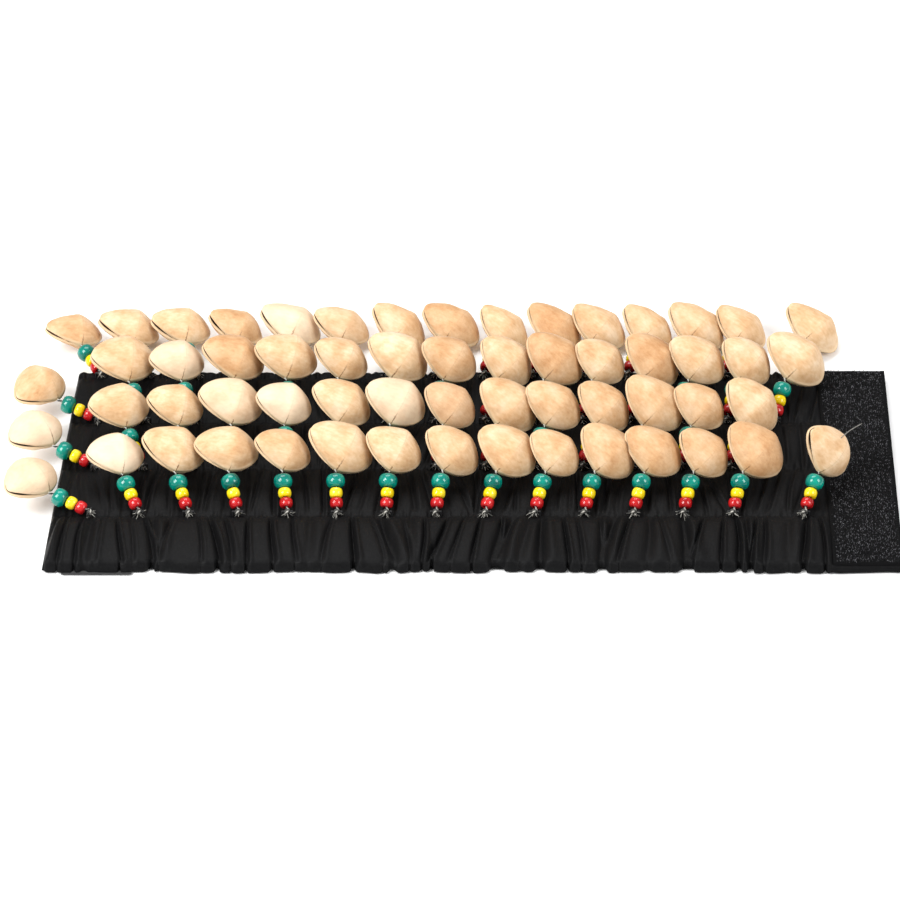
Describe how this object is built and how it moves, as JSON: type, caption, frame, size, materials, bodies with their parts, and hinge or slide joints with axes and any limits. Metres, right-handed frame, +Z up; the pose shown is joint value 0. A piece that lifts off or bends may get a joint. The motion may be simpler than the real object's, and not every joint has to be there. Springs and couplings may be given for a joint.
{
  "type": "foot rattle",
  "caption": "Gathered cloth ankle band with hook and loop closure that carries rows of hollow nut shells, each swinging on a short cord with a red, a yellow and a green bead.",
  "frame": {"origin": "middle of the band's underside, on the surface it lies on", "axes": "+X along the band towards the hook tape, +Y from the free hem towards the first row, the way the shells point, +Z up out of the cloth"},
  "size_m": [0.4087, 0.1797, 0.0346],
  "materials": {
    "cover_cloth": "matte",
    "lining_cloth": "matte",
    "elastic": "matte",
    "hook_tape": "satin",
    "loop_tape": "matte",
    "tack_thread": "matte",
    "nut_shell": "satin",
    "green_bead": "gloss",
    "yellow_bead": "gloss",
    "red_bead": "gloss",
    "cord": "matte"
  },
  "bodies": {
    "band": {"cover_cloth": "cover_cloth", "lining_cloth": "lining_cloth", "elastic_row_1": "elastic", "elastic_row_2": "elastic", "elastic_row_3": "elastic", "elastic_row_4": "elastic", "hook_tape": "hook_tape", "loop_tape": "loop_tape", "tacks_row_1": "tack_thread", "tacks_row_2": "tack_thread", "tacks_row_3": "tack_thread", "tacks_row_4": "tack_thread"},
    "row_1": {"shells_row_1": "nut_shell", "green_beads_row_1": "green_bead", "yellow_beads_row_1": "yellow_bead", "red_beads_row_1": "red_bead", "cords_row_1": "cord"},
    "row_2": {"shells_row_2": "nut_shell", "green_beads_row_2": "green_bead", "yellow_beads_row_2": "yellow_bead", "red_beads_row_2": "red_bead", "cords_row_2": "cord"},
    "row_3": {"shells_row_3": "nut_shell", "green_beads_row_3": "green_bead", "yellow_beads_row_3": "yellow_bead", "red_beads_row_3": "red_bead", "cords_row_3": "cord"},
    "row_4": {"shells_row_4": "nut_shell", "green_beads_row_4": "green_bead", "yellow_beads_row_4": "yellow_bead", "red_beads_row_4": "red_bead", "cords_row_4": "cord"},
    "end_2": {"end_shell_2": "nut_shell", "end_green_bead_2": "green_bead", "end_yellow_bead_2": "yellow_bead", "end_red_bead_2": "red_bead", "end_cord_2": "cord"},
    "end_3": {"end_shell_3": "nut_shell", "end_green_bead_3": "green_bead", "end_yellow_bead_3": "yellow_bead", "end_red_bead_3": "red_bead", "end_cord_3": "cord"},
    "end_4": {"end_shell_4": "nut_shell", "end_green_bead_4": "green_bead", "end_yellow_bead_4": "yellow_bead", "end_red_bead_4": "red_bead", "end_cord_4": "cord"},
    "lone": {"lone_shell": "nut_shell", "lone_green_bead": "green_bead", "lone_yellow_bead": "yellow_bead", "lone_red_bead": "red_bead", "lone_cord": "cord"}
  },
  "joints": [
    {"name": "row_1_swing", "type": "hinge", "parent": "band", "child": "row_1", "pos_m": [0, 0.065, 0.00639], "axis": [1, 0, 0], "range_deg": [0, 28]},
    {"name": "row_2_swing", "type": "hinge", "parent": "band", "child": "row_2", "pos_m": [0, 0.032, 0.00639], "axis": [1, 0, 0], "range_deg": [0, 15]},
    {"name": "row_3_swing", "type": "hinge", "parent": "band", "child": "row_3", "pos_m": [0, -0.001, 0.00639], "axis": [1, 0, 0], "range_deg": [0, 15]},
    {"name": "row_4_swing", "type": "hinge", "parent": "band", "child": "row_4", "pos_m": [0, -0.034, 0.00639], "axis": [1, 0, 0], "range_deg": [0, 110]},
    {"name": "end_2_swing", "type": "hinge", "parent": "band", "child": "end_2", "pos_m": [-0.175, 0.032, 0.00639], "axis": [0.342, 0.9397, 0], "range_deg": [0, 40]},
    {"name": "end_3_swing", "type": "hinge", "parent": "band", "child": "end_3", "pos_m": [-0.175, -0.001, 0.00639], "axis": [0.342, 0.9397, 0], "range_deg": [0, 40]},
    {"name": "end_4_swing", "type": "hinge", "parent": "band", "child": "end_4", "pos_m": [-0.175, -0.034, 0.00639], "axis": [0.342, 0.9397, 0], "range_deg": [0, 40]},
    {"name": "lone_swing", "type": "hinge", "parent": "band", "child": "lone", "pos_m": [0.1516, -0.034, 0.00639], "axis": [1, 0, 0], "range_deg": [0, 100]}
  ]
}
